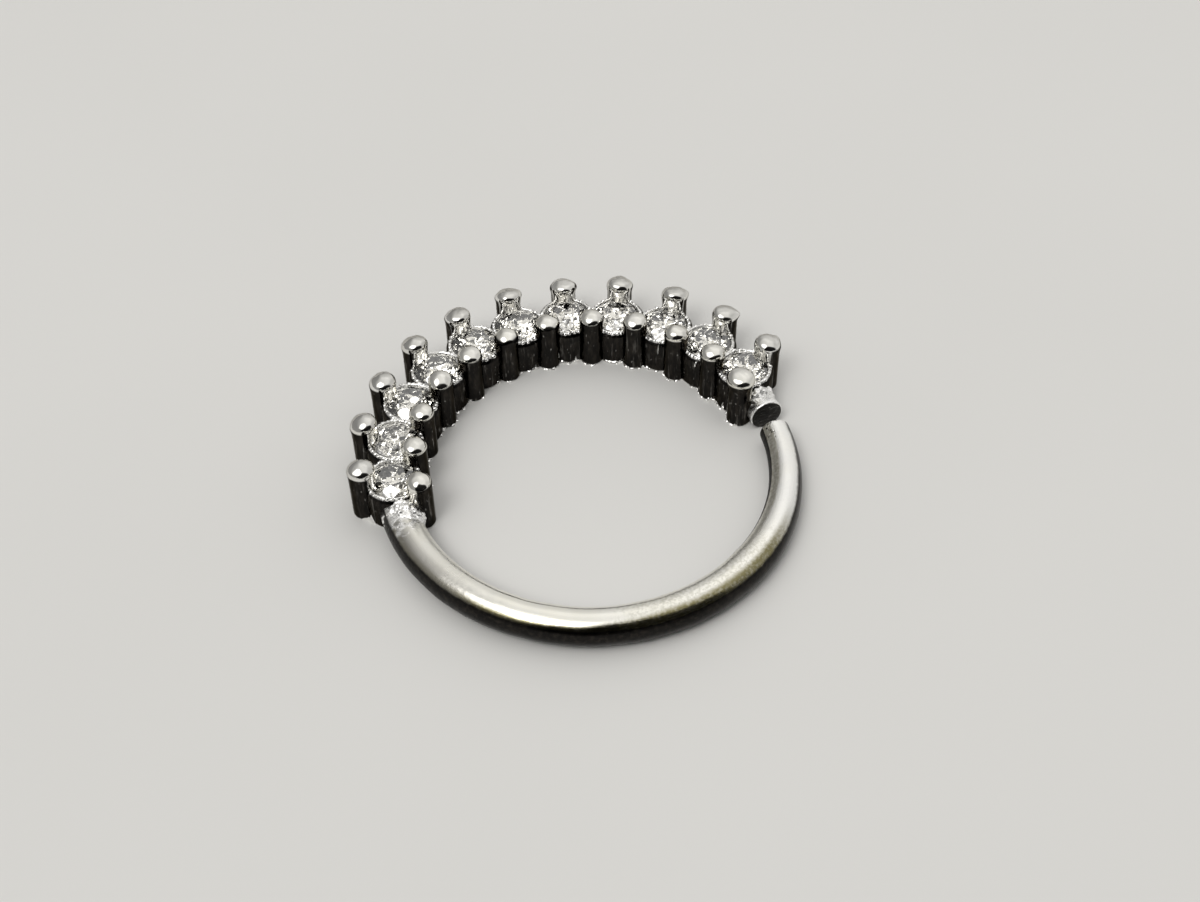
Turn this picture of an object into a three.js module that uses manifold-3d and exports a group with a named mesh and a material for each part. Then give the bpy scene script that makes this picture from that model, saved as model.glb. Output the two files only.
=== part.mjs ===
// A daith ring: a bend-open hoop of round wire whose far half is a cast gallery of small round stones.
// Millimetres, +Z up. The ring lies flat, as it rests by itself, with the stones facing up.
// Wire, gallery, prongs and solder are fused metal and the small stones are set in it, so it is one solid.

import * as THREE from 'three';
import { mergeVertices } from 'three/addons/utils/BufferGeometryUtils.js';
import Module from 'manifold-3d';

const wasm = await Module();
wasm.setup();

// ---- driving dimensions, in millimetres and degrees ----

// The hoop. Angles turn anticlockwise about the hoop's own centre, with 0 along +X.
const HOOP_RADIUS = 5.31; // centre of the hoop to the centre of the wire
const WIRE_RADIUS = 0.5;
const WIRE_END_RADIUS = 0.42; // the wire is drawn down a little towards its free end
const END_SPRING_IN = 0.08; // how far the free end sits inside the hoop's circle
const TAPER_START_ANGLE = -45;
const FREE_END_ANGLE = 15.4;
const STUB_CUT_ANGLE = 21.4;

// The gallery: a cup, a stone and an outer prong at each seat, and an inner prong half a pitch to each side.
const STONE_COUNT = 11;
const FIRST_STONE_ANGLE = 189.1;
const STONE_PITCH = 15.34; // degrees between neighbouring stones
const CUP_RADIUS = 0.82;
const CUP_SHOULDER = 1; // where a cup's upright wall starts to slope in to its rim
const CUP_RIM_RADIUS = 0.72;
const CUP_HEIGHT = 1.12;
const BORE_RADIUS = 0.55; // a cup is open at the back, up to its stone
const BORE_HEIGHT = 1.03; // just inside the stone, under its girdle
const OUTER_PRONG = { circle: 6.12, radius: 0.365 };
const INNER_PRONG = { circle: 4.69, radius: 0.35 };
const PRONG_SHOULDER = 1.5; // where a prong's straight side ends and its dome starts
const DOME_HEIGHT = 0.32;

// A stone: a round brilliant, whose sizes are taken from its girdle.
const STONE_RADIUS = 0.65;
const GIRDLE_HEIGHT = 1.06;
const GIRDLE_THICKNESS = 0.03;
const CROWN_HEIGHT = 0.2;
const TABLE_RADIUS = 0.37;
const PAVILION_DEPTH = 0.55;

// The solder lumps: one runs the wire into the first cup, the other runs the stub into the last.
const WIRE_SOLDER = { angle: 198.4, radius: 0.57, halfLength: 0.62 };
const STUB_SOLDER = { angle: 27.4, radius: 0.48, halfLength: 0.5 };

// How finely the round things are faceted.
const WIRE_SIDES = 16;
const WIRE_STEP = 6; // degrees of the hoop for each stretch of wire
const CUP_SIDES = 20;
const BORE_SIDES = 14;
const PRONG_SIDES = 12;
const DOME_RINGS = 3;
const STONE_SIDES = 8;
const SOLDER_SIDES = 14;
const SOLDER_RINGS = 8;

const FULL_TURN = 360;
const { degToRad, lerp, smoothstep } = THREE.MathUtils;

// ---- solids: closed geometry in, joined and cut, closed geometry out ----

function solidOf(geometry) {
  const bare = geometry.clone();
  bare.deleteAttribute('normal');
  bare.deleteAttribute('uv');
  const merged = mergeVertices(bare);
  const corners = merged.index.array;
  const triVerts = [];
  for (let i = 0; i < corners.length; i += 3) {
    const [a, b, c] = corners.slice(i, i + 3);
    if (a !== b && b !== c && c !== a) {
      triVerts.push(a, b, c); // the flat slivers at a lathe's poles are left out
    }
  }
  return new wasm.Manifold(new wasm.Mesh({
    numProp: 3,
    vertProperties: merged.attributes.position.array,
    triVerts: Uint32Array.from(triVerts),
  }));
}

function geometryOf(solid) {
  const mesh = solid.getMesh();
  const geometry = new THREE.BufferGeometry();
  geometry.setAttribute('position', new THREE.BufferAttribute(mesh.vertProperties, 3));
  geometry.setIndex(new THREE.BufferAttribute(mesh.triVerts, 1));
  geometry.computeVertexNormals();
  return geometry;
}

function joined(solids) {
  return solids.reduce((whole, solid) => whole.add(solid));
}

// ---- places on the hoop ----

function onCircle(radius, angle, height = 0) {
  return new THREE.Vector3(radius * Math.cos(degToRad(angle)), radius * Math.sin(degToRad(angle)), height);
}

// 0 on the full wire, rising to 1 at the drawn-down free end.
function taperAt(angle) {
  return smoothstep(angle, TAPER_START_ANGLE, FREE_END_ANGLE);
}

function wireRadiusAt(angle) {
  return lerp(WIRE_RADIUS, WIRE_END_RADIUS, taperAt(angle));
}

// The wire lies on the surface, so its centre is as high as its own radius.
function wireCentreAt(angle) {
  return onCircle(HOOP_RADIUS - END_SPRING_IN * taperAt(angle), angle, wireRadiusAt(angle));
}

class HoopCurve extends THREE.Curve {
  constructor(startAngle, endAngle) {
    super();
    this.startAngle = startAngle;
    this.endAngle = endAngle;
  }

  getPoint(t) {
    return wireCentreAt(lerp(this.startAngle, this.endAngle, t));
  }
}

const seatAngles = Array.from({ length: STONE_COUNT }, (_, i) => FIRST_STONE_ANGLE - i * STONE_PITCH);
const FIRST_SHARED_ANGLE = FIRST_STONE_ANGLE + STONE_PITCH / 2;
const sharedAngles = Array.from({ length: STONE_COUNT + 1 }, (_, i) => FIRST_SHARED_ANGLE - i * STONE_PITCH);

// ---- the pieces ----

// A lathe turns about +Y; this stands it up along +Z.
function turned(profile, sides) {
  const points = profile.map(([r, z]) => new THREE.Vector2(r, z));
  return new THREE.LatheGeometry(points, sides).rotateX(Math.PI / 2);
}

function wire(startAngle, endAngle) {
  const section = new THREE.Shape().absarc(0, 0, WIRE_RADIUS, 0, 2 * Math.PI);
  const geometry = new THREE.ExtrudeGeometry(section, {
    steps: Math.ceil((endAngle - startAngle) / WIRE_STEP),
    curveSegments: WIRE_SIDES / 2, // a full circle gets two sides for each
    bevelEnabled: false,
    extrudePath: new HoopCurve(startAngle, endAngle),
  });
  const point = new THREE.Vector3();
  const places = geometry.attributes.position;
  for (let i = 0; i < places.count; i += 1) {
    point.fromBufferAttribute(places, i);
    const angle = THREE.MathUtils.radToDeg(Math.atan2(point.y, point.x));
    const centre = wireCentreAt(angle);
    point.sub(centre).multiplyScalar(wireRadiusAt(angle) / WIRE_RADIUS).add(centre);
    places.setXYZ(i, point.x, point.y, point.z);
  }
  return solidOf(geometry);
}

function prong({ circle, radius }, angle) {
  const profile = [[0, 0], [radius, 0]];
  for (let ring = 0; ring < DOME_RINGS; ring += 1) {
    const rise = (Math.PI / 2) * (ring / DOME_RINGS);
    profile.push([radius * Math.cos(rise), PRONG_SHOULDER + DOME_HEIGHT * Math.sin(rise)]);
  }
  profile.push([0, PRONG_SHOULDER + DOME_HEIGHT]);
  const place = onCircle(circle, angle);
  return solidOf(turned(profile, PRONG_SIDES).rotateZ(degToRad(angle)).translate(place.x, place.y, 0));
}

function cup(angle) {
  const place = onCircle(HOOP_RADIUS, angle);
  const profile = [
    [0, 0],
    [CUP_RADIUS, 0],
    [CUP_RADIUS, CUP_SHOULDER],
    [CUP_RIM_RADIUS, CUP_HEIGHT],
    [0, CUP_HEIGHT],
  ];
  return solidOf(turned(profile, CUP_SIDES).rotateZ(degToRad(angle)).translate(place.x, place.y, 0));
}

// The bore is open at the bottom and ends inside the stone that closes it at the top.
function bore(angle) {
  const place = onCircle(HOOP_RADIUS, angle);
  const profile = [
    [0, -CUP_HEIGHT],
    [BORE_RADIUS, -CUP_HEIGHT],
    [BORE_RADIUS, BORE_HEIGHT],
    [0, BORE_HEIGHT],
  ];
  return solidOf(turned(profile, BORE_SIDES).rotateZ(degToRad(angle)).translate(place.x, place.y, 0));
}

function stone(angle) {
  const place = onCircle(HOOP_RADIUS, angle, GIRDLE_HEIGHT);
  const profile = [
    [0, -PAVILION_DEPTH],
    [STONE_RADIUS, 0],
    [STONE_RADIUS, GIRDLE_THICKNESS],
    [TABLE_RADIUS, GIRDLE_THICKNESS + CROWN_HEIGHT],
    [0, GIRDLE_THICKNESS + CROWN_HEIGHT],
  ];
  return solidOf(turned(profile, STONE_SIDES).rotateZ(degToRad(angle)).translate(place.x, place.y, place.z));
}

// A lump resting on the surface like the wire, long in the wire's direction.
function solder({ angle, radius, halfLength }) {
  const place = onCircle(wireCentreAt(angle).setZ(0).length(), angle, radius);
  const lump = new THREE.SphereGeometry(1, SOLDER_SIDES, SOLDER_RINGS).scale(radius, halfLength, radius);
  return solidOf(lump.rotateZ(degToRad(angle)).translate(place.x, place.y, place.z));
}

// ---- the ring ----

const firstCupAngle = FIRST_STONE_ANGLE - FULL_TURN;
const lastCupAngle = seatAngles[STONE_COUNT - 1];

const metal = joined([
  wire(firstCupAngle, FREE_END_ANGLE),
  wire(STUB_CUT_ANGLE, lastCupAngle),
  solder(WIRE_SOLDER),
  solder(STUB_SOLDER),
  ...seatAngles.map(cup),
  ...seatAngles.map((angle) => prong(OUTER_PRONG, angle)),
  ...sharedAngles.map((angle) => prong(INNER_PRONG, angle)),
]);
const bored = seatAngles.map(bore).reduce((left, hole) => left.subtract(hole), metal);
const ringSolid = joined([bored, ...seatAngles.map(stone)]);

const ring = new THREE.Mesh(
  geometryOf(ringSolid),
  new THREE.MeshStandardMaterial({ color: 0xd9d8d4, roughness: 0.22, metalness: 1 }),
);
ring.name = 'jewelled_hoop';

// The origin is under the middle of the ring's box, on the surface it lies on.
const box = new THREE.Box3().setFromObject(ring);
const middle = box.getCenter(new THREE.Vector3());
const daithRing = new THREE.Group();
daithRing.position.set(-middle.x, -middle.y, -box.min.z);
daithRing.add(ring);

export default daithRing;
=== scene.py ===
"""A daith ring in bright silver: a bend-open hoop of round wire, soldered to a cast gallery of stones."""

import math
import random

import bmesh
import bpy
from mathutils import Matrix, Vector, noise


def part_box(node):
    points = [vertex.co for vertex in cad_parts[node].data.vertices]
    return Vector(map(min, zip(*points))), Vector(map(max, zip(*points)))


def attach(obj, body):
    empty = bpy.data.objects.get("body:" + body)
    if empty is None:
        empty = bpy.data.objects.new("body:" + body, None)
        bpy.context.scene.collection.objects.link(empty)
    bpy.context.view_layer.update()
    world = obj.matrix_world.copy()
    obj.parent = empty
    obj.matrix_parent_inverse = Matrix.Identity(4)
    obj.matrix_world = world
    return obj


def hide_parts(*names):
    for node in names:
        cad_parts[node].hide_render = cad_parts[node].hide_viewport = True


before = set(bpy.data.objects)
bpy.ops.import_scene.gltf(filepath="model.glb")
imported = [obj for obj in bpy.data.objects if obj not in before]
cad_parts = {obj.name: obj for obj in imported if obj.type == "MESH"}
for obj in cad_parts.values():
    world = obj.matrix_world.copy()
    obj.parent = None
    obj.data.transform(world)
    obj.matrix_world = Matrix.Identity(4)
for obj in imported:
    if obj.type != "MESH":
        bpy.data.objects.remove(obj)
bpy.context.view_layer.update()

# ---- the ring's sizes: millimetres, and degrees anticlockwise round the hoop from +X ----

MM = 0.001
NODE = "jewelled_hoop"
TAU = 2 * math.pi
SAME_PLACE = 1e-5
SHARP_ANGLE = 40.0

HOOP_RADIUS = 5.31
WIRE_RADIUS = 0.5
WIRE_END_RADIUS = 0.42
END_SPRING_IN = 0.08
TAPER_START = -45.0
FREE_END = 15.4
STUB_CUT = 21.4

SEATS = 11
FIRST_SEAT = 189.1
PITCH = 15.34
CUP_RADIUS = 0.82
CUP_BORE = 0.55
CUP_SHOULDER = 1.0
CUP_RIM = 0.72
CUP_HEIGHT = 1.12
OUTER_CIRCLE, OUTER_RADIUS = 6.12, 0.365
INNER_CIRCLE, INNER_RADIUS = 4.69, 0.35
PRONG_SHOULDER = 1.5

STONE_RADIUS = 0.65
GIRDLE_HEIGHT = 1.06
GIRDLE_THICKNESS = 0.03
CROWN_HEIGHT = 0.2

seats = [FIRST_SEAT - PITCH * i for i in range(SEATS)]
shared = [FIRST_SEAT + PITCH / 2 - PITCH * i for i in range(SEATS + 1)]


def turn(angle):
    return Matrix.Rotation(math.radians(angle), 4, "Z")


def on_hoop(radius, angle, height=0.0):
    return turn(angle) @ Vector((radius, 0, height))


# The frame is centred on the ring's box, so the box's left and near sides give the hoop's own centre.
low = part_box(NODE)[0]
leftmost = min(on_hoop(OUTER_CIRCLE + OUTER_RADIUS, angle).x for angle in seats)
hoop_centre = Vector((low.x / MM - leftmost, low.y / MM + HOOP_RADIUS + WIRE_RADIUS, low.z / MM))


# ---- helpers for the pieces, which are all shaped in millimetres about the hoop's centre ----

def blend(value, start, end):
    """0 before start, 1 after end, and an even curve between."""
    t = min(max((value - start) / (end - start), 0.0), 1.0)
    return t * t * (3 - 2 * t)


def turned(profile, sides, ring=False):
    """Turns a profile of (radius, height) points once round the Z axis. A ring's profile closes on itself."""
    bm = bmesh.new()
    points = [bm.verts.new((radius, 0, height)) for radius, height in profile]
    ends = points[1:] + points[:1] if ring else points[1:]
    lines = [bm.edges.new(pair) for pair in zip(points, ends)]
    bmesh.ops.spin(
        bm, geom=points + lines, cent=(0, 0, 0), axis=(0, 0, 1), angle=TAU, steps=sides, use_merge=True
    )
    bmesh.ops.remove_doubles(bm, verts=bm.verts, dist=SAME_PLACE)
    return bm


def arc(centre, radius, start, end, steps):
    """Points of a round corner in a profile."""
    turns = [math.radians(start + (end - start) * i / steps) for i in range(steps + 1)]
    return [(centre[0] + radius * math.cos(a), centre[1] + radius * math.sin(a)) for a in turns]


def roughen(bm, depth, grain, seed, where=lambda co: 1.0):
    """Moves the surface in and out a little, as casting and hand finishing leave it."""
    bmesh.ops.recalc_face_normals(bm, faces=bm.faces)
    bm.normal_update()
    for vert in bm.verts:
        rise = noise.noise(vert.co / grain + Vector((seed, 0, seed)))
        vert.co += vert.normal * (depth * rise * where(vert.co))


def joined(parts):
    """One bmesh from several."""
    whole = bmesh.new()
    for part in parts:
        mesh = bpy.data.meshes.new("part")
        part.to_mesh(mesh)
        part.free()
        whole.from_mesh(mesh)
        bpy.data.meshes.remove(mesh)
    return whole


def piece(name, bm, *materials, slot="silver", smooth=True):
    """Makes the finished piece: metres, at its place on the ring, riding on it."""
    bmesh.ops.recalc_face_normals(bm, faces=bm.faces)
    bmesh.ops.transform(bm, matrix=Matrix.Scale(MM, 4) @ Matrix.Translation(hoop_centre), verts=bm.verts)
    mesh = bpy.data.meshes.new(name)
    bm.to_mesh(mesh)
    bm.free()
    for material in materials:
        mesh.materials.append(material)
    if smooth:
        mesh.shade_smooth()
        mesh.set_sharp_from_angle(angle=math.radians(SHARP_ANGLE))
    made = bpy.data.objects.new(name, mesh)
    bpy.context.scene.collection.objects.link(made)
    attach(made, "root")
    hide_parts(NODE)
    return made


# ---- shader helpers ----

# A Mix node has sockets for every kind of value, under the same names. These are the places of its colours.
MIX_FIRST_COLOUR, MIX_SECOND_COLOUR, MIX_COLOUR = 6, 7, 2


class Nodes:
    """Adds and joins the nodes of one material, group or world."""

    def __init__(self, tree):
        self.tree = tree
        tree.nodes.clear()

    def feed(self, socket, value):
        if isinstance(value, bpy.types.NodeSocket):
            self.tree.links.new(value, socket)
        else:
            socket.default_value = value

    def add(self, kind, settings=None, **inputs):
        made = self.tree.nodes.new("ShaderNode" + kind)
        for name, value in (settings or {}).items():
            setattr(made, name, value)
        for name, value in inputs.items():
            self.feed(made.inputs[name.replace("_", " ")], value)
        return made

    def math(self, operation, a, b=0.0):
        made = self.add("Math", {"operation": operation})
        self.feed(made.inputs[0], a)
        self.feed(made.inputs[1], b)
        return made.outputs[0]

    def plus(self, a, b):
        return self.math("ADD", a, b)

    def minus(self, a, b):
        return self.math("SUBTRACT", a, b)

    def times(self, a, b):
        return self.math("MULTIPLY", a, b)

    def total(self, first, *others):
        for other in others:
            first = self.plus(first, other)
        return first

    def lerp(self, factor, start, end):
        """A number between two others."""
        return self.plus(start, self.times(factor, self.minus(end, start)))

    def mix(self, factor, a, b):
        made = self.add("Mix", {"data_type": "RGBA"})
        self.feed(made.inputs[0], factor)
        self.feed(made.inputs[MIX_FIRST_COLOUR], a)
        self.feed(made.inputs[MIX_SECOND_COLOUR], b)
        return made.outputs[MIX_COLOUR]

    def between(self, value, start, end, to_start=0.0, to_end=1.0):
        made = self.add("MapRange", {"interpolation_type": "SMOOTHSTEP"}, Value=value)
        for name, number in zip(("From Min", "From Max", "To Min", "To Max"), (start, end, to_start, to_end)):
            self.feed(made.inputs[name], number)
        return made.outputs[0]

    def until(self, value, start, end):
        """1 before start, and 0 after end."""
        return self.between(value, start, end, 1.0, 0.0)

    def stretch(self, vector, scale):
        made = self.add("VectorMath", {"operation": "MULTIPLY"})
        self.feed(made.inputs[0], vector)
        self.feed(made.inputs[1], scale)
        return made.outputs[0]

    def clouds(self, vector, scale, detail=2.0, roughness=0.5):
        return self.add("TexNoise", Vector=vector, Scale=scale, Detail=detail, Roughness=roughness).outputs[0]

    def cells(self, vector, scale):
        return self.add("TexVoronoi", Vector=vector, Scale=scale).outputs["Distance"]

    def use(self, group, **inputs):
        return self.add("Group", {"node_tree": group}, **inputs)


def group(name, inputs, outputs):
    """An empty shader group with named sockets, given as name: kind or name: (kind, value)."""
    tree = bpy.data.node_groups.new(name, "ShaderNodeTree")
    nodes = Nodes(tree)
    for sockets, side in ((inputs, "INPUT"), (outputs, "OUTPUT")):
        for label, kind in sockets.items():
            kind, value = kind if isinstance(kind, tuple) else (kind, None)
            socket = tree.interface.new_socket(label, in_out=side, socket_type="NodeSocket" + kind)
            if value is not None:
                socket.default_value = value
    given = tree.nodes.new("NodeGroupInput").outputs
    out = tree.nodes.new("NodeGroupOutput").inputs
    return tree, nodes, given, out


def make_hoop_places():
    """Places on the ring in millimetres: Straight about its centre, and Round as along, outward and up."""
    tree, nodes, _, out = group("hoop places", {}, {
        "Straight": "Vector", "Round": "Vector", "Height": "Float", "Turn": "Float", "Outward": "Float",
    })
    own = nodes.add("TexCoord").outputs["Object"]
    straight = nodes.add(
        "Mapping", {"vector_type": "POINT"}, Vector=own, Location=-hoop_centre, Scale=(1 / MM,) * 3
    ).outputs[0]
    parts = nodes.add("SeparateXYZ", Vector=straight).outputs
    angle = nodes.math("ARCTAN2", parts[1], parts[0])
    flat = nodes.add("CombineXYZ", X=parts[0], Y=parts[1]).outputs[0]
    distance = nodes.add("VectorMath", {"operation": "LENGTH"})
    nodes.feed(distance.inputs[0], flat)
    outward = nodes.minus(distance.outputs["Value"], HOOP_RADIUS)
    along = nodes.times(angle, HOOP_RADIUS)
    nodes.feed(out["Straight"], straight)
    nodes.feed(out["Round"], nodes.add("CombineXYZ", X=along, Y=outward, Z=parts[2]).outputs[0])
    nodes.feed(out["Height"], parts[2])
    nodes.feed(out["Turn"], nodes.math("DEGREES", angle))
    nodes.feed(out["Outward"], outward)
    return tree


# Where each pattern's mask begins and is full, in the values of its noise or its cells.
LINE_EDGE = (0.56, 0.7)
PIT_EDGE = (0.25, 0.55)
NO_PITS, ALL_PITS = 0.75, 0.7
HANDLED_EDGE = (0.35, 0.65)
SHADE_EDGE, SHADE_BROWN = (0.3, 0.7), (0.42, 0.68)
FROST_HOLE, FROST_GRAIN = (0.08, 0.4), (0.45, 0.6)
OLIVE_GRAIN, WORN_GRAIN, SPOTTED = (0.36, 0.56), (0.36, 0.62), (0.4, 0.62)
SPECK_EDGE, FOOT_GAP_EDGE, SCORED = (0.65, 0.72), (0.44, 0.52), (0.5, 0.64)
SKIN_RANGE = (0.3, 0.7)
SMEAR_EDGE = (0.55, 0.8)

# How much coarser than the pits their patches are, and how much each pattern adds to what lies under it.
PIT_PATCHES = 0.6
FROST_HOLE_SHADE, FROST_GRAIN_RISE = 0.65, 0.6
SPOT_SHADE, SATIN_SHADE, MOTTLED_SKIN = 0.22, 0.25, 0.8
LINE_SHADE, SPECK_SHADE, SCORED_SHADE, SAW_SHADE = 0.28, 0.4, 0.5, 0.4
HANDLED_WARMTH, INNER_WARMTH = 0.3, 0.45
OUTER_CROWN_SHADE, INNER_CROWN_SHADE = 0.75, 0.4


def make_tooling_lines():
    """Fine lines drawn out in one direction, as files, wire plates and polishing leave them."""
    tree, nodes, given, out = group(
        "tooling lines", {"Places": "Vector", "Fineness": ("Vector", (1, 1, 1))},
        {"Height": "Float", "Mask": "Float"}
    )
    drawn = nodes.stretch(given["Places"], given["Fineness"])
    lines = nodes.clouds(drawn, scale=1.0, detail=4.0, roughness=0.7)
    nodes.feed(out["Height"], lines)
    nodes.feed(out["Mask"], nodes.between(lines, *LINE_EDGE))
    return tree


def make_casting_pits():
    """Small round pits scattered over a cast or soldered skin."""
    tree, nodes, given, out = group(
        "casting pits", {"Places": "Vector", "Size": ("Float", 0.1), "Share": ("Float", 0.4)},
        {"Height": "Float", "Mask": "Float"}
    )
    scale = nodes.math("DIVIDE", 1.0, given["Size"])
    wander = nodes.clouds(given["Places"], nodes.times(scale, PIT_PATCHES), detail=3.0)
    hole = nodes.until(nodes.cells(given["Places"], scale), *PIT_EDGE)
    here = nodes.between(wander, nodes.minus(NO_PITS, given["Share"]), ALL_PITS)
    mask = nodes.times(hole, here)
    nodes.feed(out["Mask"], mask)
    nodes.feed(out["Height"], nodes.minus(1.0, mask))
    return tree


def make_handling():
    """Slow changes over a surface, for its tint and its polish."""
    tree, nodes, given, out = group(
        "handling", {"Places": "Vector", "Size": ("Float", 1.0)}, {"Mask": "Float"}
    )
    scale = nodes.math("DIVIDE", 1.0, given["Size"])
    nodes.feed(out["Mask"], nodes.between(nodes.clouds(given["Places"], scale, detail=3.0), *HANDLED_EDGE))
    return tree


def make_painted_shade():
    """Painted shade: near-black silver, ragged at its edge, for the dark it would mirror. Reach runs from 0
    to 1.
    """
    tree, nodes, given, out = group(
        "painted_shade", {"Places": "Vector", "Reach": "Float", "Ragged": ("Float", 0.9)},
        {"Mask": "Float", "Color": "Color"}
    )
    ragged = nodes.minus(nodes.clouds(given["Places"], scale=5.0, detail=5.0, roughness=0.6), 0.5)
    reach = nodes.plus(given["Reach"], nodes.times(ragged, given["Ragged"]))
    nodes.feed(out["Mask"], nodes.between(reach, *SHADE_EDGE))
    mottle = nodes.clouds(given["Places"], scale=8.0, detail=5.0, roughness=0.65)
    brown = nodes.between(mottle, *SHADE_BROWN)
    nodes.feed(out["Color"], nodes.mix(brown, SHADE_BLACK, BROWN_PITS_AND_SHADE))
    return tree


def make_frosting():
    """The white, pitted skin that solder and hot silver take on."""
    tree, nodes, given, out = group(
        "frosting", {"Places": "Vector"}, {"Color": "Color", "Roughness": "Float", "Height": "Float"}
    )
    grain = nodes.clouds(given["Places"], scale=16.0, detail=5.0, roughness=0.65)
    cells = nodes.cells(given["Places"], scale=8.0)
    holes = nodes.times(nodes.until(cells, *FROST_HOLE), nodes.between(grain, *FROST_GRAIN))
    nodes.feed(out["Color"], nodes.mix(nodes.times(holes, FROST_HOLE_SHADE), WHITE_SILVER, DULL_SILVER))
    nodes.feed(out["Roughness"], nodes.between(grain, *HANDLED_EDGE, to_start=0.2, to_end=0.42))
    nodes.feed(out["Height"], nodes.minus(nodes.times(grain, FROST_GRAIN_RISE), holes))
    return tree


BRIGHT_SILVER = (0.93, 0.925, 0.905, 1)
WARM_SILVER = (0.87, 0.85, 0.77, 1)
WHITE_SILVER = (0.98, 0.975, 0.965, 1)
GREY_SILVER = (0.62, 0.61, 0.58, 1)
OLIVE_SILVER = (0.27, 0.243, 0.13, 1)
DULL_SILVER = (0.4, 0.385, 0.36, 1)
WORN_SILVER = (0.42, 0.4, 0.335, 1)
# Near-black browns for the painted shade; the browner one also colours pits and scored lines.
BROWN_PITS_AND_SHADE = (0.036, 0.032, 0.028, 1)
SHADE_BLACK = (0.018, 0.017, 0.016, 1)

CLEAR_WHITE = (1, 0.985, 0.93, 1)
CLEAR_WARM = (1, 0.965, 0.88, 1)

# Painted shade on the cast metal: it mirrors only half as much at a glance.
GLANCE_SHADE = (0.5, 0.49, 0.47, 1)

# Strong enough for the far facets to keep the light in when the stones are seen from the side.
STONE_INDEX = 2.55

hoop_places = make_hoop_places()
tooling_lines = make_tooling_lines()
casting_pits = make_casting_pits()
handling = make_handling()
painted_shade = make_painted_shade()
frosting = make_frosting()


# ---- finishes ----

def surface(name, **inputs):
    """A new material, its nodes and its shader."""
    material = bpy.data.materials.new(name)
    material.use_nodes = True
    nodes = Nodes(material.node_tree)
    shader = nodes.add("BsdfPrincipled", **inputs)
    nodes.feed(nodes.add("OutputMaterial").inputs["Surface"], shader.outputs[0])
    return material, nodes, shader


def metal(name):
    """A new metal material, its nodes, its shader and the ring's places."""
    material, nodes, shader = surface(name, Metallic=1.0)
    return material, nodes, shader, nodes.use(hoop_places).outputs


def bumped(nodes, shader, *layers):
    """Raises the surface by (height, depth in millimetres) layers, one on another."""
    normal = None
    for height, depth in layers:
        bump = nodes.add("Bump", Height=height, Distance=depth * MM)
        if normal:
            nodes.feed(bump.inputs["Normal"], normal)
        normal = bump.outputs[0]
    nodes.feed(shader.inputs["Normal"], normal)


def round_the_wire(nodes, place):
    """Degrees round the wire's section: 0 faces out of the hoop, 90 up, and 180 towards the hoop's middle."""
    taper = nodes.between(place["Turn"], TAPER_START, FREE_END)
    rise = nodes.minus(place["Height"], nodes.lerp(taper, WIRE_RADIUS, WIRE_END_RADIUS))
    outward = nodes.plus(place["Outward"], nodes.times(taper, END_SPRING_IN))
    inward = nodes.times(outward, -1.0)
    return nodes.plus(nodes.math("DEGREES", nodes.math("ARCTAN2", inward, rise)), 90.0)


# Where the wire's finish changes along the hoop: the degrees at which each change begins and is done.
HEAT_ENDS = (-159.0, -152.0)
SATIN_ENDS = (-138.0, -112.0)
OLIVE_FULL, OLIVE_ENDS = (-132.0, -118.0), (-36.0, -16.0)
MOTTLE_STARTS, MOTTLE_ENDS = (-88.0, -72.0), (-42.0, -24.0)
WARMTH_ENDS = (-50.0, -15.0)
FREE_END_FINISH = (-60.0, -10.0)
PITS_START = (7.5, 11.0)

# Where it changes round the wire's section, in degrees. An edge moves between two places along the hoop.
# The wire is painted dark as shade below DARK_BELOW, and past the outer and inner edges.
DARK_BELOW = 18.0
OUTER_EDGE_MOVES, OUTER_EDGE = (-30.0, 0.0), (64.0, 76.0)
INNER_EDGE_MOVES, INNER_EDGE, INNER_EDGE_WIDTH = (-70.0, -35.0), (160.0, 138.0), 22.0
OLIVE_FOOT = (18.0, 32.0)
OLIVE_TOP_MOVES, OLIVE_TOP, OLIVE_TOP_WIDTH = (-95.0, -65.0), (44.0, 60.0), 20.0
SATIN_SHADE_SIDE = (42.0, 112.0)
WORN_EDGE, WORN_EDGE_WANDER, WORN_EDGE_WIDTH = 111.0, 12.0, 8.0
PITS_FROM = (106.0, 118.0)
RAGGED_DEGREES = 30.0

# The roughness of the wire where nothing has dulled it.
POLISHED = 0.09


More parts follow.
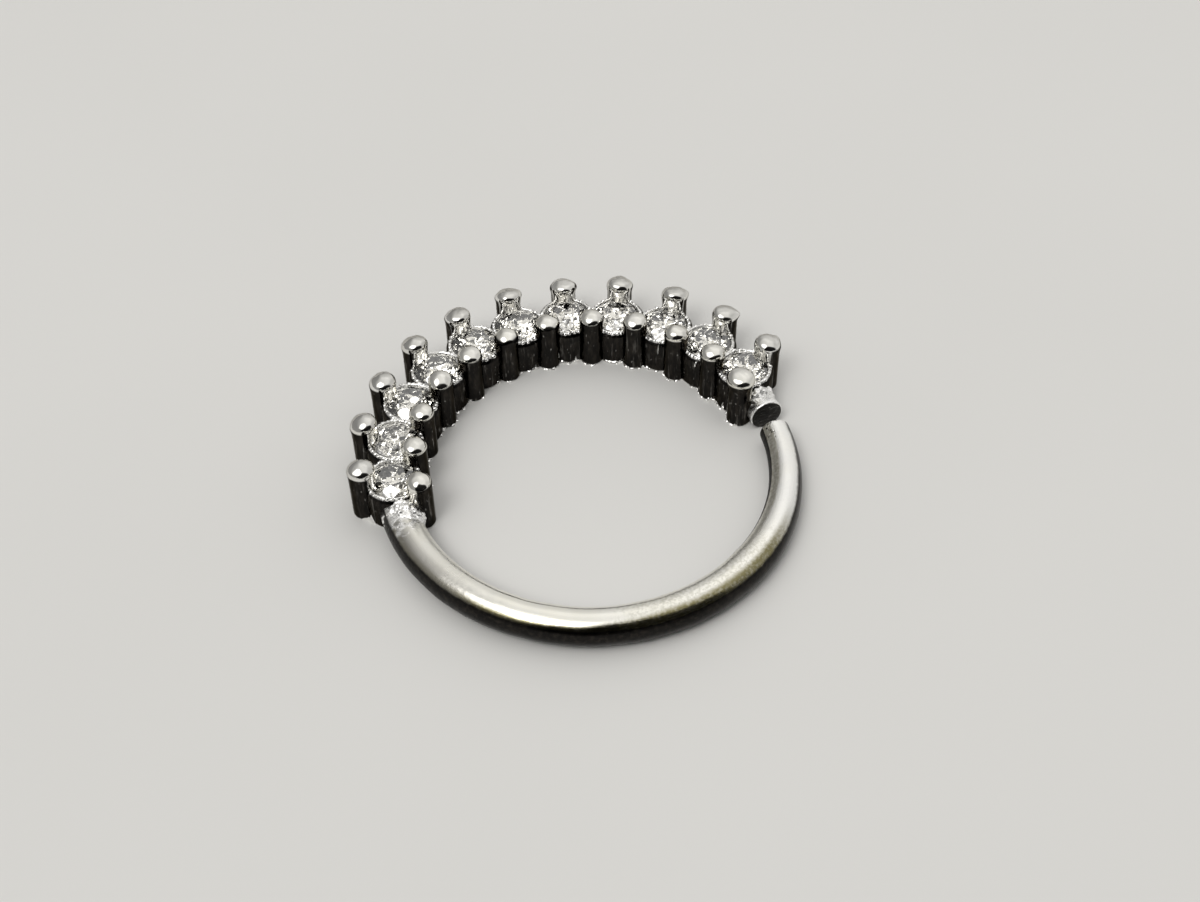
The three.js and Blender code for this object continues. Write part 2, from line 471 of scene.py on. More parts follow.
def make_wire_silver():
    """Drawn wire, whose finish changes along it: frosted, satin, polished, olive and mottled, then bright."""
    material, nodes, shader, place = metal("wire silver")
    turn_at = place["Turn"]
    around = round_the_wire(nodes, place)
    drift = nodes.minus(nodes.clouds(place["Straight"], scale=4.0, detail=4.0), 0.5)
    ragged_turn = nodes.plus(turn_at, nodes.times(drift, RAGGED_DEGREES))
    heated = nodes.until(ragged_turn, *HEAT_ENDS)
    satin = nodes.until(ragged_turn, *SATIN_ENDS)
    mottled = nodes.times(nodes.between(ragged_turn, *MOTTLE_STARTS), nodes.until(ragged_turn, *MOTTLE_ENDS))
    toward_end = nodes.between(turn_at, *FREE_END_FINISH)
    lines = nodes.use(tooling_lines, Places=place["Round"], Fineness=(0.5, 26.0, 26.0)).outputs
    mottle = nodes.clouds(place["Straight"], scale=11.0, detail=5.0, roughness=0.6)
    tint = nodes.use(handling, Places=place["Round"], Size=1.2).outputs[0]
    frost = nodes.use(frosting, Places=place["Straight"]).outputs

    inner_edge = nodes.between(turn_at, *INNER_EDGE_MOVES, *INNER_EDGE)
    inner_foot = nodes.between(around, inner_edge, nodes.plus(inner_edge, INNER_EDGE_WIDTH))
    outer_edge = nodes.between(turn_at, *OUTER_EDGE_MOVES, *OUTER_EDGE)
    # Painted shade: the underside and inner foot are near-black, for the dark surroundings they would mirror.
    underside = nodes.math("MAXIMUM", nodes.until(around, DARK_BELOW, outer_edge), inner_foot)
    dark = nodes.use(painted_shade, Places=place["Straight"], Reach=underside, Ragged=0.3).outputs
    pits = nodes.use(casting_pits, Places=place["Straight"], Size=0.08, Share=0.7).outputs
    by_end = nodes.times(nodes.between(turn_at, *PITS_START), nodes.between(around, *PITS_FROM))
    pitted = nodes.times(by_end, pits["Mask"])
    worn_edge = nodes.plus(WORN_EDGE, nodes.times(drift, WORN_EDGE_WANDER))
    worn = nodes.between(around, worn_edge, nodes.plus(worn_edge, WORN_EDGE_WIDTH))
    worn = nodes.times(worn, toward_end)
    grainy = nodes.between(mottle, *WORN_GRAIN, to_start=0.6, to_end=0.95)
    olive_top = nodes.between(turn_at, *OLIVE_TOP_MOVES, *OLIVE_TOP)
    olive = nodes.times(
        nodes.between(around, *OLIVE_FOOT),
        nodes.until(around, olive_top, nodes.plus(olive_top, OLIVE_TOP_WIDTH))
    )
    olive = nodes.times(olive, nodes.between(turn_at, *OLIVE_FULL, to_start=0.4, to_end=1.0))
    olive = nodes.times(olive, nodes.until(turn_at, *OLIVE_ENDS))
    olive = nodes.times(olive, nodes.between(mottle, *OLIVE_GRAIN, to_start=0.75, to_end=1.0))
    spots = nodes.times(nodes.between(mottle, *SPOTTED), SPOT_SHADE)

    warmth = nodes.between(turn_at, *WARMTH_ENDS, to_start=0.6, to_end=0.05)
    warmth = nodes.plus(warmth, nodes.times(tint, HANDLED_WARMTH))
    colour = nodes.mix(warmth, BRIGHT_SILVER, WARM_SILVER)
    # Painted shade: the satin stretch turns duller towards its outer, lower side.
    toned = nodes.mix(nodes.between(around, *SATIN_SHADE_SIDE), DULL_SILVER, colour)
    toned = nodes.mix(nodes.times(mottle, SATIN_SHADE), toned, GREY_SILVER)
    colour = nodes.mix(satin, colour, toned)
    colour = nodes.mix(nodes.times(mottled, spots), colour, OLIVE_SILVER)
    colour = nodes.mix(olive, colour, OLIVE_SILVER)
    colour = nodes.mix(nodes.times(worn, grainy), colour, WORN_SILVER)
    colour = nodes.mix(heated, colour, frost["Color"])
    colour = nodes.mix(dark["Mask"], colour, dark["Color"])
    nodes.feed(shader.inputs["Base Color"], nodes.mix(pitted, colour, BROWN_PITS_AND_SHADE))

    rough = nodes.total(
        POLISHED, nodes.times(lines["Mask"], 0.08), nodes.times(satin, 0.2), nodes.times(mottled, 0.1),
        nodes.times(toward_end, 0.08), nodes.times(worn, 0.25), nodes.times(dark["Mask"], 0.14),
    )
    nodes.feed(shader.inputs["Roughness"], nodes.lerp(heated, rough, frost["Roughness"]))

    grained = nodes.plus(satin, nodes.times(nodes.math("MAXIMUM", mottled, toward_end), MOTTLED_SKIN))
    skin = nodes.times(mottle, grained)
    bumped(
        nodes, shader, (lines["Height"], 0.0025), (skin, 0.006),
        (nodes.times(frost["Height"], heated), 0.03), (nodes.minus(1.0, pitted), 0.05),
    )
    return material


# Heights on the gallery at which its finish and its painted shade change, in millimetres.
FOOT_BRIGHT = (0.02, 0.06)
SHAFT_DARK = (CUP_HEIGHT - 0.5, CUP_HEIGHT + 0.15)
SHAFT_LINED = (CUP_HEIGHT - 0.1, PRONG_SHOULDER - 0.1)
HEAD_BRIGHT = (PRONG_SHOULDER + 0.05, PRONG_SHOULDER + 0.1)
CROWN_SHADED = (PRONG_SHOULDER + 0.08, PRONG_SHOULDER + 0.24)
RIM_BRIGHT = (CUP_SHOULDER + 0.05, CUP_SHOULDER + 0.09)
SOLDER_SHADED = (0.1, 0.45)

# How far outward of the hoop's centre line the middle of the two rows of prongs lies, how far to each side of
# that the shafts are painted dark as shade, and where the inner row gives way to the outer.
ROW_MIDDLE, FLANK_DARK, INNER_ROW = 0.1, (0.46, 0.68), (-0.3, 0.3)


def cast_wall(nodes, place):
    """The cast wall, painted dark as shade: its colour, the lines up and down it, and its drawn-out places.
    """
    lines = nodes.use(tooling_lines, Places=place["Straight"], Fineness=(9.0, 9.0, 0.8)).outputs
    drawn = nodes.stretch(place["Straight"], (1, 1, 0.3))
    # Painted shade: the whole wall is near-black, for the dark surroundings it would mirror.
    dark = nodes.use(painted_shade, Places=drawn, Reach=1.0).outputs
    colour = nodes.mix(nodes.times(lines["Mask"], LINE_SHADE), dark["Color"], DULL_SILVER)
    specks = nodes.between(nodes.clouds(drawn, scale=14.0, detail=4.0), *SPECK_EDGE)
    colour = nodes.mix(nodes.times(specks, SPECK_SHADE), colour, GREY_SILVER)
    # Along the foot the painted shade gives way in patches to bright silver.
    foot = nodes.until(place["Height"], *FOOT_BRIGHT)
    bare = nodes.between(nodes.clouds(place["Straight"], scale=3.0, detail=4.0), *FOOT_GAP_EDGE)
    return nodes.mix(nodes.times(foot, bare), colour, BRIGHT_SILVER), lines["Height"], drawn


def make_prong_metal():
    """Burnished heads on cast shafts: a shaft is painted dark as shade low down, and on the side away from
    the stones.
    """
    material, nodes, shader, place = metal("prong metal")
    wall, lines, drawn = cast_wall(nodes, place)
    # Painted shade: below the head, a shaft is painted dark low down and on its flanks.
    away = nodes.between(nodes.math("ABSOLUTE", nodes.minus(place["Outward"], ROW_MIDDLE)), *FLANK_DARK)
    reach = nodes.math("MAXIMUM", away, nodes.until(place["Height"], *SHAFT_DARK))
    shaft_shade = nodes.use(painted_shade, Places=drawn, Reach=reach, Ragged=0.4).outputs["Mask"]
    dark = nodes.times(nodes.until(place["Height"], *HEAD_BRIGHT), shaft_shade)
    lined = nodes.until(place["Height"], *SHAFT_LINED)
    tint = nodes.use(handling, Places=place["Straight"], Size=0.7).outputs[0]
    inner = nodes.until(place["Outward"], *INNER_ROW)
    warmth = nodes.plus(nodes.times(inner, INNER_WARMTH), nodes.times(tint, HANDLED_WARMTH))
    bright = nodes.mix(warmth, BRIGHT_SILVER, WARM_SILVER)
    # The crowns are worn duller and painted a darker grey as shade, more on the outer row.
    crown_wear_and_shade = nodes.between(place["Height"], *CROWN_SHADED)
    crown_wear_and_shade = nodes.times(crown_wear_and_shade, nodes.lerp(inner, OUTER_CROWN_SHADE, INNER_CROWN_SHADE))
    bright = nodes.mix(crown_wear_and_shade, bright, GREY_SILVER)
    scored = nodes.times(lined, nodes.between(lines, *SCORED))
    bright = nodes.mix(nodes.times(scored, SCORED_SHADE), bright, BROWN_PITS_AND_SHADE)
    nodes.feed(shader.inputs["Base Color"], nodes.mix(dark, bright, wall))
    nodes.feed(shader.inputs["Specular Tint"], GLANCE_SHADE)
    skin = nodes.clouds(place["Straight"], scale=5.0, detail=3.0)
    nodes.feed(shader.inputs["Roughness"], nodes.between(skin, *SKIN_RANGE, to_start=0.06, to_end=0.12))
    bumped(nodes, shader, (nodes.times(lines, lined), 0.006), (skin, 0.006))
    return material


def make_cup_metal():
    """The outsides of the cups: cast, painted dark as shade, and bright at the rim."""
    material, nodes, shader, place = metal("cup metal")
    wall, lines, drawn = cast_wall(nodes, place)
    rim = nodes.between(place["Height"], *RIM_BRIGHT)
    nodes.feed(shader.inputs["Base Color"], nodes.mix(rim, wall, BRIGHT_SILVER))
    nodes.feed(shader.inputs["Specular Tint"], GLANCE_SHADE)
    skin = nodes.clouds(drawn, scale=9.0, detail=4.0)
    nodes.feed(shader.inputs["Roughness"], nodes.between(skin, *SKIN_RANGE, to_start=0.16, to_end=0.32))
    bumped(nodes, shader, (lines, 0.012), (skin, 0.012))
    return material


def make_bright_cast():
    """Seats, rim beads and casting flash: bare bright silver with a cast skin."""
    material, nodes, shader, place = metal("bright cast silver")
    skin = nodes.clouds(place["Straight"], scale=12.0, detail=3.0)
    nodes.feed(shader.inputs["Base Color"], nodes.mix(skin, WHITE_SILVER, BRIGHT_SILVER))
    nodes.feed(shader.inputs["Roughness"], nodes.between(skin, *SKIN_RANGE, to_start=0.12, to_end=0.28))
    bumped(nodes, shader, (skin, 0.01))
    return material


def make_solder():
    """Frosted white solder with a pitted skin, painted dark as shade low down."""
    material, nodes, shader, place = metal("frosted solder")
    frost = nodes.use(frosting, Places=place["Straight"]).outputs
    # Painted shade: the solder is painted dark low down, near the floor.
    low = nodes.until(place["Height"], *SOLDER_SHADED)
    dark = nodes.use(painted_shade, Places=place["Straight"], Reach=low, Ragged=0.6).outputs
    nodes.feed(shader.inputs["Base Color"], nodes.mix(dark["Mask"], frost["Color"], dark["Color"]))
    nodes.feed(shader.inputs["Roughness"], frost["Roughness"])
    bumped(nodes, shader, (frost["Height"], 0.026))
    return material


def make_saw_cut():
    """The stub's sawn face: painted near-black as shade, with straight saw marks across it."""
    material, nodes, shader, place = metal("saw cut")
    lines = nodes.use(tooling_lines, Places=place["Straight"], Fineness=(4.0, 4.0, 20.0)).outputs
    # Painted shade: the whole face is near-black.
    dark = nodes.use(painted_shade, Places=place["Straight"], Reach=1.0).outputs
    scored = nodes.mix(nodes.times(lines["Mask"], SAW_SHADE), dark["Color"], GREY_SILVER)
    rough = nodes.between(lines["Height"], *SKIN_RANGE, to_start=0.3, to_end=0.5)
    nodes.feed(shader.inputs["Base Color"], scored)
    nodes.feed(shader.inputs["Roughness"], rough)
    bumped(nodes, shader, (lines["Height"], 0.02))
    return material


def make_clear_stone():
    """Clear, highly refractive brilliant-cut stone, whose tiny facets were not polished quite flat."""
    material, nodes, shader = surface("clear stone", Metallic=0.0, IOR=STONE_INDEX, Transmission_Weight=1.0)
    place = nodes.use(hoop_places).outputs
    smear = nodes.clouds(place["Straight"], scale=4.0)
    waves = nodes.clouds(place["Straight"], scale=3.5, detail=1.0)
    bumped(nodes, shader, (waves, 0.03))
    nodes.feed(shader.inputs["Roughness"], nodes.between(smear, *SMEAR_EDGE, to_start=0.0, to_end=0.03))
    nodes.feed(shader.inputs["Base Color"], nodes.mix(smear, CLEAR_WHITE, CLEAR_WARM))
    return material


wire_silver = make_wire_silver()
prong_metal = make_prong_metal()
cup_metal = make_cup_metal()
bright_cast = make_bright_cast()
frosted_solder = make_solder()
saw_cut = make_saw_cut()
clear_stone = make_clear_stone()


# ---- the hoop's wire ----

WIRE_SIDES = 40
WIRE_STEP = 1.5
END_IN_WALL = 6.7
STUB_FLARE = 0.12
FLARE_LENGTH = 8.0
FACES_THE_CUT = 0.95

# The stub reaches half a degree past its cut in the solid.
STUB_END = STUB_CUT - 0.5


def taper_at(angle):
    return blend(angle, TAPER_START, FREE_END)


def wire_radius_at(angle):
    return WIRE_RADIUS + (WIRE_END_RADIUS - WIRE_RADIUS) * taper_at(angle)


def wire_centre_at(angle):
    return on_hoop(HOOP_RADIUS - END_SPRING_IN * taper_at(angle), angle, wire_radius_at(angle))


def wire_run(start, end, edge):
    """Round wire swept along the hoop from one angle to another, with its cut ends' edges rounded."""
    bm = bmesh.new()
    bmesh.ops.create_circle(bm, segments=WIRE_SIDES, radius=WIRE_RADIUS)
    stand = turn(start) @ Matrix.Translation((HOOP_RADIUS, 0, 0)) @ Matrix.Rotation(math.pi / 2, 4, "X")
    bmesh.ops.transform(bm, matrix=stand, verts=bm.verts)
    bmesh.ops.spin(
        bm, geom=bm.verts[:] + bm.edges[:], cent=(0, 0, 0), axis=(0, 0, 1),
        angle=math.radians(end - start), steps=math.ceil((end - start) / WIRE_STEP),
    )
    rims = [line for line in bm.edges if line.is_boundary]
    bmesh.ops.edgeloop_fill(bm, edges=rims)
    for vert in bm.verts:
        angle = math.degrees(math.atan2(vert.co.y, vert.co.x))
        offset = vert.co - on_hoop(HOOP_RADIUS, angle)
        vert.co = wire_centre_at(angle) + offset * (wire_radius_at(angle) / WIRE_RADIUS)
    bmesh.ops.bevel(bm, geom=rims, offset=edge, segments=4, profile=0.5, affect="EDGES", material=-1)
    return bm


wire = wire_run(seats[0] + END_IN_WALL - 360, FREE_END, edge=0.09)
roughen(wire, depth=0.012, grain=0.9, seed=3.1)
piece("hoop_wire", wire, wire_silver)

stub = wire_run(STUB_END, seats[-1] - END_IN_WALL, edge=0.04)
for vert in stub.verts:
    angle = math.degrees(math.atan2(vert.co.y, vert.co.x))
    middle = wire_centre_at(angle)
    flare = 1 + STUB_FLARE * blend(angle, STUB_END + FLARE_LENGTH, STUB_END)
    vert.co = Vector((*(middle.xy + (vert.co.xy - middle.xy) * flare), vert.co.z * flare))
cut_way = on_hoop(1, STUB_END - 90)
stub.normal_update()
for face in stub.faces:
    if face.normal.dot(cut_way) > FACES_THE_CUT:
        face.material_index = 1
piece("wire_stub", stub, frosted_solder, saw_cut)


# ---- solder ----

def solder(angle, radius, behind, ahead, seed):
    """A puddled lump that rests on the surface like the wire, and reaches behind and ahead of its middle."""
    bm = bmesh.new()
    bmesh.ops.create_icosphere(bm, subdivisions=6, radius=1)
    for vert in bm.verts:
        reach = ahead if vert.co.y > 0 else behind
        vert.co = Vector((vert.co.x * radius, vert.co.y * reach, vert.co.z * radius))
    place = Matrix.Translation(on_hoop(wire_centre_at(angle).xy.length, angle, radius))
    bmesh.ops.transform(bm, matrix=place @ turn(angle), verts=bm.verts)
    roughen(bm, depth=0.06, grain=0.25, seed=seed)
    roughen(bm, depth=0.05, grain=0.1, seed=seed + 1)
    for vert in bm.verts:
        vert.co.z = max(vert.co.z, 0.0)
    return bm


def drop(angle, distance, height, radius, stretch, seed):
    """A small bead of solder that ran and set by itself."""
    bm = bmesh.new()
    bmesh.ops.create_icosphere(bm, subdivisions=4, radius=radius)
    bmesh.ops.scale(bm, vec=(1, stretch, 1), verts=bm.verts)
    place = Matrix.Translation(on_hoop(distance, angle, height)) @ turn(angle)
    bmesh.ops.transform(bm, matrix=place, verts=bm.verts)
    roughen(bm, depth=0.03, grain=0.09, seed=seed)
    return bm


piece("solder_wire_end", joined([
    solder(angle=198.4, radius=0.55, behind=0.3, ahead=0.75, seed=5.3),
    drop(angle=200.5, distance=4.86, height=0.62, radius=0.1, stretch=1.3, seed=11.0),
    drop(angle=204.3, distance=4.87, height=0.55, radius=0.08, stretch=1.6, seed=12.0),
]), frosted_solder)
piece("solder_stub_end", joined([
    solder(angle=27.4, radius=0.5, behind=0.42, ahead=0.2, seed=7.9),
    drop(angle=25.6, distance=4.88, height=0.62, radius=0.1, stretch=1.1, seed=14.0),
    drop(angle=24.0, distance=4.93, height=0.42, radius=0.09, stretch=1.2, seed=15.0),
    drop(angle=27.4, distance=4.9, height=0.86, radius=0.08, stretch=1.5, seed=16.0),
]), frosted_solder)


# ---- the gallery's cups ----

CUP_SIDES = 64
FOOT_EDGE = 0.03
SHOULDER_BELOW, SHOULDER_ABOVE = 0.03, 0.02
SEAT_DEPTH = 0.12
SEAT_PLAY = 0.01
LIP = 0.03
LIP_START, LIP_END = 20, 170

# Beads round each rim: how far they go to each side of the cup's inner side, and how they vary.
RIM_BEADS = 29
RIM_BEAD_SWEEP = 150.0
RIM_BEAD_RADIUS = 0.072
RIM_BEAD_CIRCLE = CUP_RIM - 0.01
RIM_BEAD_SHAPE = (0.9, 1.15, 0.9, 1)
BEAD_TURNS, BEAD_SIZES = (-2, 2), (0.65, 1.1)
BEAD_OUTS, BEAD_RISES = (-0.01, 0.02), (-0.03, 0.01)
BEADS_SHRINK, SHRINK_SHARE = (70, 130), 0.15


def cup():
    """A cup, open at the back, whose sloping seat follows the stone's underside."""
    lip = arc((CUP_RIM - LIP, CUP_HEIGHT - LIP), LIP, LIP_START, LIP_END, steps=6)
    return turned([
        (CUP_BORE, 0),
        (CUP_RADIUS - FOOT_EDGE, 0),
        (CUP_RADIUS, FOOT_EDGE),
        (CUP_RADIUS, CUP_SHOULDER / 2),
        (CUP_RADIUS, CUP_SHOULDER - SHOULDER_BELOW),
        (CUP_RADIUS - SHOULDER_ABOVE, CUP_SHOULDER + SHOULDER_ABOVE),
        *lip,
        (STONE_RADIUS + SEAT_PLAY, GIRDLE_HEIGHT + 2 * SEAT_PLAY),
        (CUP_BORE, GIRDLE_HEIGHT - SEAT_DEPTH),
    ], CUP_SIDES, ring=True)


def rim_beads(inward, rng):
    """Small uneven beads round a cup's rim, everywhere but on its outer side."""
    beads = []
    for i in range(RIM_BEADS):
        angle = RIM_BEAD_SWEEP * (2 * i / (RIM_BEADS - 1) - 1) + rng.uniform(*BEAD_TURNS)
        shrunk = 1 - SHRINK_SHARE * blend(abs(angle), *BEADS_SHRINK)
        size = RIM_BEAD_RADIUS * rng.uniform(*BEAD_SIZES) * shrunk
        height = CUP_HEIGHT - LIP + rng.uniform(*BEAD_RISES)
        spot = on_hoop(RIM_BEAD_CIRCLE + rng.uniform(*BEAD_OUTS), inward + angle, height)
        shape = Matrix.Translation(spot) @ turn(inward + angle) @ Matrix.Diagonal(RIM_BEAD_SHAPE)
        bead = bmesh.new()
        bmesh.ops.create_icosphere(bead, subdivisions=2, radius=size, matrix=shape)
        beads.append(bead)
    return joined(beads)


for number, angle in enumerate(seats, 1):
    rng = random.Random(number)
    seat = Matrix.Translation(on_hoop(HOOP_RADIUS, angle))
    wall = cup()
    for face in wall.faces:
        middle = face.calc_center_median()
        if middle.xy.length < STONE_RADIUS + 2 * SEAT_PLAY and middle.z > FOOT_EDGE:
            face.material_index = 1
    bmesh.ops.transform(wall, matrix=seat, verts=wall.verts)
    roughen(wall, depth=0.01, grain=0.3, seed=number)
    piece(f"cup_{number:02d}", wall, cup_metal, bright_cast)
    beads = rim_beads(angle + 180, rng)
    bmesh.ops.transform(beads, matrix=seat, verts=beads.verts)
    roughen(beads, depth=0.015, grain=0.08, seed=number)
    piece(f"cup_rim_{number:02d}", beads, bright_cast)


# ---- prongs ----

PRONG_SIDES = 48
PRONG_SEED = 200
SHAFT_STEPS, EDGE_STEPS, CROWN_STEPS = 8, 10, 8
NECK = 0.012
NECK_HEIGHT = 1.3
HEAD_EDGE = 0.23
HEAD_UNDERCUT = 8
HEAD_UNEVEN = (-0.06, 0.06)
HEAD_FINISHED = (1.1, PRONG_SHOULDER)
OUTER_FLARE = 0.006
LAST_INNER_FLARE = 0.05
CORNER_SHARPNESS = 10
CORNER_DEPTH = 0.13

# How high each head stands, how steep its crown is at its edge in degrees, and how far it tilts out, from the
# soldered wire's end of the gallery to the stub's.
OUTER_HEADS = [
    (1.86, 40, 0.06), (1.86, 36, 0.12), (1.81, 32, 0.16), (1.84, 28, 0.2), (1.77, 24, 0.24), (1.75, 20, 0.28),
    (1.69, 18, 0.26), (1.75, 18, 0.26), (1.78, 20, 0.26), (1.78, 22, 0.22), (1.77, 30, 0.12),
]
INNER_HEADS = [
    (1.75, 36, 0.0), (1.8, 36, 0.0), (1.77, 34, 0.0), (1.8, 34, 0.0), (1.76, 34, 0.0), (1.68, 30, 0.0),
    (1.71, 30, 0.0), (1.75, 32, 0.0), (1.78, 34, 0.0), (1.8, 34, 0.0), (1.8, 34, 0.0), (1.82, 34, 0.0),
]

# Heads drawn out to a corner when they were cut: on which outer prong, which way it points, and how far.
CORNERS = [
    {"prong": 3, "points": -15, "reach": 0.02},
    {"prong": 5, "points": 190, "reach": 0.02},
    {"prong": 6, "points": 192, "reach": 0.02},
    {"prong": 6, "points": 25, "reach": 0.045},
    {"prong": 7, "points": 178, "reach": 0.02},
    {"prong": 7, "points": 5, "reach": 0.03},
    {"prong": 8, "points": 80, "reach": 0.05},
    {"prong": 8, "points": 8, "reach": 0.035},
    {"prong": 9, "points": 10, "reach": 0.075},
    {"prong": 10, "points": 2, "reach": 0.09},
    {"prong": 11, "points": 42, "reach": 0.07},
]


def draw_out(bm, mark, reach, height):
    """Pulls one side of a head out to a soft corner."""
    way = on_hoop(1, mark["points"])
    for vert in bm.verts:
        flat = Vector((vert.co.x, vert.co.y, 0))
        if flat.length > SAME_PLACE:
            facing = max(flat.normalized().dot(way), 0.0) ** CORNER_SHARPNESS
            level = 1 - blend(abs(vert.co.z - height), 0.0, CORNER_DEPTH)
            vert.co += way * (mark["reach"] * facing * level * min(flat.length / reach, 1.0))


def on_head(co):
    """0 on a prong's shaft, and 1 on its head."""
    return blend(co.z, *HEAD_FINISHED)


def prong(radius, flare, head, outward, number, corners=()):
    """A round rod with a burnished head: a crown, tilted outward, with a round edge standing past the rod."""
    rng = random.Random(PRONG_SEED + number)
    top, crown, tilt = head
    shaft, reach = radius - NECK, radius + flare
    steep = math.radians(crown)
    crown_edge = reach - HEAD_EDGE + HEAD_EDGE * math.sin(steep)
    crown_foot = top - crown_edge * math.tan(steep / 2)
    edge_height = crown_foot - HEAD_EDGE * math.cos(steep)
    crown_radius = crown_edge / math.sin(steep)
    profile = [(0, 0), (shaft - FOOT_EDGE, 0), (shaft, FOOT_EDGE)]
    profile += [(shaft, NECK_HEIGHT * step / SHAFT_STEPS) for step in range(1, SHAFT_STEPS + 1)]
    profile += arc((reach - HEAD_EDGE, edge_height), HEAD_EDGE, -HEAD_UNDERCUT, 90 - crown, EDGE_STEPS)
    profile += arc((0, top - crown_radius), crown_radius, 90 - crown, 90, CROWN_STEPS)[1:]
    bm = turned(profile, PRONG_SIDES)
    lean = on_hoop(-tilt, outward) + Vector((rng.uniform(*HEAD_UNEVEN), rng.uniform(*HEAD_UNEVEN), 0))
    for vert in bm.verts:
        vert.co.z += blend(vert.co.z, NECK_HEIGHT, edge_height + HEAD_EDGE / 2) * lean.dot(vert.co)
    for mark in corners:
        draw_out(bm, mark, reach, edge_height + HEAD_EDGE / 4)
    roughen(bm, depth=0.02, grain=0.4, seed=number * 1.7, where=on_head)
    roughen(bm, depth=0.008, grain=0.14, seed=number * 2.3, where=on_head)
    return bm


for number, angle in enumerate(seats, 1):
    corners = [mark for mark in CORNERS if mark["prong"] == number]
    bm = prong(OUTER_RADIUS, OUTER_FLARE, OUTER_HEADS[number - 1], angle, number, corners)
    bmesh.ops.translate(bm, vec=on_hoop(OUTER_CIRCLE, angle), verts=bm.verts)
    piece(f"outer_prong_{number:02d}", bm, prong_metal)

for number, angle in enumerate(shared, 1):
    flare = 0.0 if number <= SEATS else LAST_INNER_FLARE
    bm = prong(INNER_RADIUS, flare, INNER_HEADS[number - 1], angle, number + SEATS)
    bmesh.ops.translate(bm, vec=on_hoop(INNER_CIRCLE, angle), verts=bm.verts)
    piece(f"inner_prong_{number:02d}", bm, prong_metal)


# ---- casting flash left on the walls ----

# The gallery's two sides, as the way in which each faces along a radius of the hoop.
INSIDE, OUTSIDE = -1, 1


def wall_at(angle, side):
    """How far out the gallery's wall stands at an angle round the hoop."""
    inner, outer = (INNER_CIRCLE, INNER_RADIUS, shared), (OUTER_CIRCLE, OUTER_RADIUS, seats)
    circle, radius, places = inner if side == INSIDE else outer
    rounds = [(HOOP_RADIUS, CUP_RADIUS, place) for place in seats]
    rounds += [(circle, radius - NECK, place) for place in places]
    reach = []
    for distance, size, place in rounds:
        off = math.radians(angle - place)
        across = distance * math.sin(off)
        if abs(across) < size:
            reach.append(distance * math.cos(off) + side * math.sqrt(size * size - across * across))
    return side * max(side * value for value in reach)


FLASH_THICKNESS = 0.075
FLASH_RAGGED, FLASH_WAVES = 0.35, 3
FLASH_BLUNT = 0.15
SUNK = 0.06

# Where it is, its half width in degrees, the heights it runs between, and how sharply its top narrows.
FLASHES = [
    {"at": 95.1, "half": 1.7, "from": 0.0, "to": 0.34, "point": 1.8},
    {"at": 110.2, "half": 1.5, "from": 0.0, "to": 0.24, "point": 1.8},
    {"at": 125.3, "half": 1.3, "from": 0.0, "to": 0.2, "point": 1.6},
    {"at": 139.1, "half": 1.3, "from": 0.0, "to": 0.18, "point": 1.6},
    {"at": 100.2, "half": 1.5, "from": 0.0, "to": 0.12, "point": 0.4},
    {"at": 82.2, "half": 3.8, "from": 0.0, "to": 0.08, "point": 0.2},
    {"at": 78.8, "half": 0.7, "from": 0.0, "to": 0.2, "point": 0.8},
    {"at": 68.8, "half": 1.6, "from": 0.0, "to": 0.09, "point": 0.4},
    {"at": 40.6, "half": 1.4, "from": 0.0, "to": 0.13, "point": 0.5},
    {"at": 37.7, "half": 1.0, "from": 0.0, "to": 0.12, "point": 0.5},
    {"at": 34.2, "half": 0.4, "from": 0.0, "to": 0.32, "point": 0.3},
    {"at": 25.2, "half": 0.8, "from": 0.0, "to": 0.12, "point": 0.6},
    {"at": 101.6, "half": 0.35, "from": 0.36, "to": 0.55, "point": 0.3},
    {"at": 64.4, "half": 0.45, "from": 0.74, "to": 1.08, "point": 0.3},
    {"at": 48.7, "half": 0.5, "from": 0.9, "to": 1.05, "point": 0.3},
]
OUTER_FLASHES = [
    {"at": 193.2, "half": 1.3, "from": 0.0, "to": 0.3, "point": 1.5},
]


def flash(mark, side, seed):
    """A small ragged swelling of metal on the wall, closed behind by a face sunk in the wall."""
    bm = bmesh.new()
    bmesh.ops.create_grid(bm, x_segments=18, y_segments=7, size=1)
    for vert in bm.verts:
        across, up = vert.co.x, (vert.co.y + 1) / 2
        narrowed = 1 - abs(across) ** (1 / mark["point"])
        ragged = 1 + FLASH_RAGGED * noise.noise(Vector((across * FLASH_WAVES, seed, 0)))
        share = FLASH_BLUNT + (1 - FLASH_BLUNT) * narrowed
        height = mark["from"] + (mark["to"] - mark["from"]) * up * share * ragged
        swell = FLASH_THICKNESS * (1 - across * across) * (1 - up * up * up) * ragged - SUNK / 4
        angle = mark["at"] + mark["half"] * across
        vert.co = on_hoop(wall_at(angle, side) + side * swell, angle, height)
    back = bmesh.ops.extrude_face_region(bm, geom=bm.faces[:], use_keep_orig=True)["geom"]
    inward = on_hoop(-side * SUNK, mark["at"])
    bmesh.ops.translate(bm, vec=inward, verts=[part for part in back if isinstance(part, bmesh.types.BMVert)])
    return bm


# A broken line of low flash along the foot of the inner wall, at a share of its places.
FOOT_PLACES, FOOT_SHARE, FOOT_SEED = range(26, 196, 3), 0.7, 7
FOOT_HALVES, FOOT_RISES = (0.9, 1.6), (0.03, 0.07)

rng = random.Random(FOOT_SEED)
foot_lines = []
for place in FOOT_PLACES:
    if rng.random() < FOOT_SHARE:
        half, rise = rng.uniform(*FOOT_HALVES), rng.uniform(*FOOT_RISES)
        foot_lines.append({"at": place, "half": half, "from": 0.0, "to": rise, "point": 0.3})
marks = []
for places, side, first in ((foot_lines, INSIDE, 60), (FLASHES, INSIDE, 0), (OUTER_FLASHES, OUTSIDE, 40)):
    marks += [flash(mark, side, seed) for seed, mark in enumerate(places, first)]
piece("casting_flash", joined(marks), bright_cast)


# ---- stones ----

